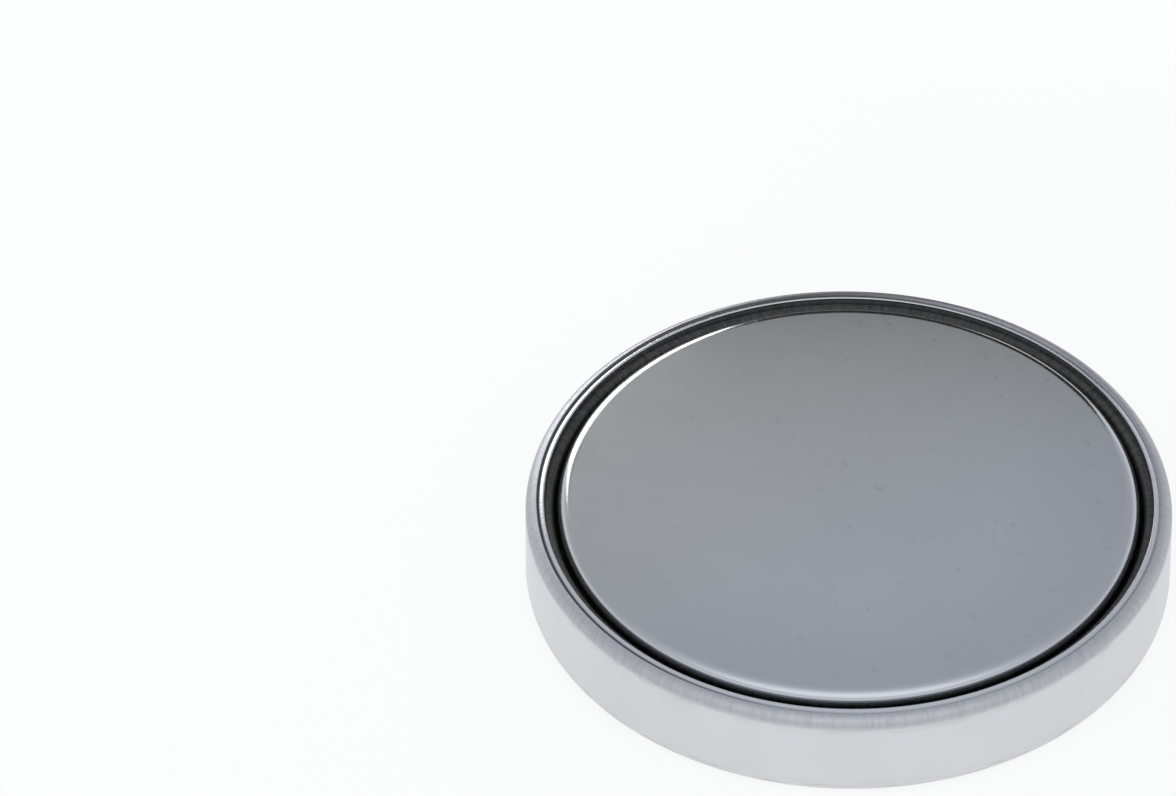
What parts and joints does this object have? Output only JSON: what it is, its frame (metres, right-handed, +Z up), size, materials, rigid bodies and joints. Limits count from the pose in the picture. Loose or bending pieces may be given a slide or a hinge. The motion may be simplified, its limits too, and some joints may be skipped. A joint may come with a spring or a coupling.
{
  "type": "lithium coin cell",
  "caption": "Flat round lithium coin cell: a steel can crimped over a sealing gasket and a stepped negative cap, with the pressed cathode, separator and lithium disc stacked inside.",
  "frame": {"origin": "centre of the positive face, which the cell lies on", "axes": "+Z up along the cell's axis, from the positive face to the negative face; X and Y lie in the positive face, and the round cell has no preferred direction in it"},
  "size_m": [0.02, 0.02, 0.0032],
  "materials": {
    "can_steel": "bright nickel-plated stainless steel",
    "cap_steel": "satin stainless steel",
    "gasket_plastic": "dark polypropylene",
    "lithium_metal": "soft dull lithium foil",
    "separator_felt": "white non-woven polypropylene",
    "cathode_mix": "pressed manganese dioxide and carbon powder",
    "ring_steel": "plain stainless steel"
  },
  "bodies": {
    "root": {"positive_can": "can_steel", "negative_cap": "cap_steel", "gasket": "gasket_plastic", "lithium_anode": "lithium_metal", "separator": "separator_felt", "cathode_pellet": "cathode_mix", "cathode_ring": "ring_steel"}
  },
  "joints": []
}
